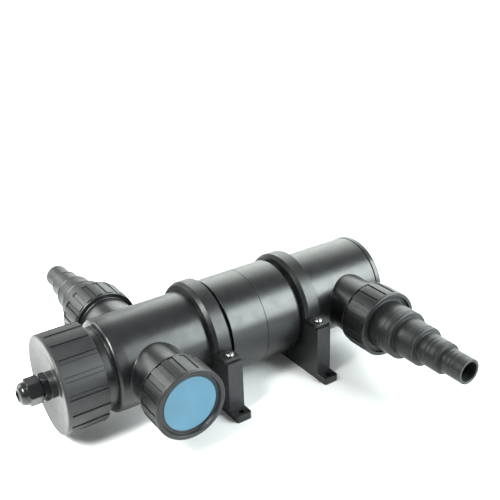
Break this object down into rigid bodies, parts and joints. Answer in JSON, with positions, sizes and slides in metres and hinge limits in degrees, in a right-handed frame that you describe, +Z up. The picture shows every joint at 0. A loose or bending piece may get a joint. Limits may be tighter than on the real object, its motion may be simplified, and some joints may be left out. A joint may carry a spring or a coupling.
{
  "type": "uv clarifier",
  "caption": "In-line ultraviolet water clarifier: black tee housing in saddle brackets, stepped hose tails, blue window, ribbed lamp cap with a cable gland.",
  "frame": {"origin": "on the mounting surface, midway between the four foot holes", "axes": "+X along the housing from the lamp cap to the end lid, -Y the front with the window and one hose tail, +Z up"},
  "size_m": [0.3174, 0.3412, 0.0904],
  "materials": {
    "housing_plastic": "moulded black ABS, satin gloss",
    "strap_plastic": "moulded black ABS, satin gloss",
    "nut_plastic": "moulded black, fine matt",
    "tail_plastic": "moulded black, fine matt",
    "cap_plastic": "moulded black, fine matt",
    "gland_plastic": "moulded black nylon, glossy",
    "window_plastic": "light-blue translucent, smooth",
    "screw_steel": "bright zinc-plated",
    "seal_rubber": "plain moulded",
    "quartz": "clear, polished",
    "lamp_glass": "clear tubes",
    "lamp_ceramic": "white moulded",
    "pin_brass": "plain"
  },
  "bodies": {
    "housing": {"left_housing": "housing_plastic", "right_housing": "housing_plastic", "end_lid": "housing_plastic", "seam_oring": "seal_rubber", "quartz_sleeve": "quartz", "sleeve_oring": "seal_rubber", "sleeve_clamp_ring": "cap_plastic", "sleeve_support": "seal_rubber", "left_strap": "strap_plastic", "right_strap": "strap_plastic", "left_bracket": "strap_plastic", "right_bracket": "strap_plastic", "strap_screws": "screw_steel"},
    "lamp_body": {"lampholder": "lamp_ceramic", "lamp_base": "lamp_ceramic", "lamp_tubes": "lamp_glass", "lamp_pins": "pin_brass"},
    "cap_body": {"lamp_cap": "cap_plastic", "cap_oring": "seal_rubber", "gland_body": "gland_plastic", "gland_bush": "seal_rubber"},
    "gland_nut_body": {"gland_nut": "gland_plastic"},
    "window_disc_body": {"window_disc": "window_plastic", "window_gasket": "seal_rubber"},
    "window_nut_body": {"window_nut": "nut_plastic"},
    "rear_tail_body": {"rear_tail": "tail_plastic", "rear_oring": "seal_rubber"},
    "rear_nut_body": {"rear_nut": "nut_plastic"},
    "right_tail_body": {"right_tail": "tail_plastic", "right_oring": "seal_rubber"},
    "right_nut_body": {"right_nut": "nut_plastic"}
  },
  "joints": [
    {"name": "lamp_draw", "type": "slide", "parent": "housing", "child": "lamp_body", "axis": [-1, 0, 0], "range_m": [0, 0.235]},
    {"name": "cap_turn", "type": "hinge", "parent": "lamp_body", "child": "cap_body", "pos_m": [-0.15, 0, 0.0462], "axis": [-1, 0, 0], "range_deg": [0, 720]},
    {"name": "gland_nut_turn", "type": "hinge", "parent": "cap_body", "child": "gland_nut_body", "pos_m": [-0.18, 0, 0.0462], "axis": [-1, 0, 0], "range_deg": [0, 360]},
    {"name": "window_disc_draw", "type": "slide", "parent": "housing", "child": "window_disc_body", "axis": [0, -1, 0], "range_m": [0, 0.0081]},
    {"name": "window_nut_turn", "type": "hinge", "parent": "window_disc_body", "child": "window_nut_body", "pos_m": [-0.096, -0.07, 0.0462], "axis": [0, -1, 0], "range_deg": [0, 720]},
    {"name": "rear_tail_draw", "type": "slide", "parent": "housing", "child": "rear_tail_body", "axis": [0, 1, 0], "range_m": [0, 0.0081]},
    {"name": "rear_nut_turn", "type": "hinge", "parent": "rear_tail_body", "child": "rear_nut_body", "pos_m": [-0.096, 0.07, 0.0462], "axis": [0, 1, 0], "range_deg": [0, 720]},
    {"name": "right_tail_draw", "type": "slide", "parent": "housing", "child": "right_tail_body", "axis": [0, -1, 0], "range_m": [0, 0.0081]},
    {"name": "right_nut_turn", "type": "hinge", "parent": "right_tail_body", "child": "right_nut_body", "pos_m": [0.0893, -0.07, 0.0462], "axis": [0, -1, 0], "range_deg": [0, 720]}
  ],
  "couplings": [
    {"joint": "window_disc_draw", "follows": "window_nut_turn", "m_per_rad": 0.00063662},
    {"joint": "rear_tail_draw", "follows": "rear_nut_turn", "m_per_rad": 0.00063662},
    {"joint": "right_tail_draw", "follows": "right_nut_turn", "m_per_rad": 0.00063662}
  ]
}
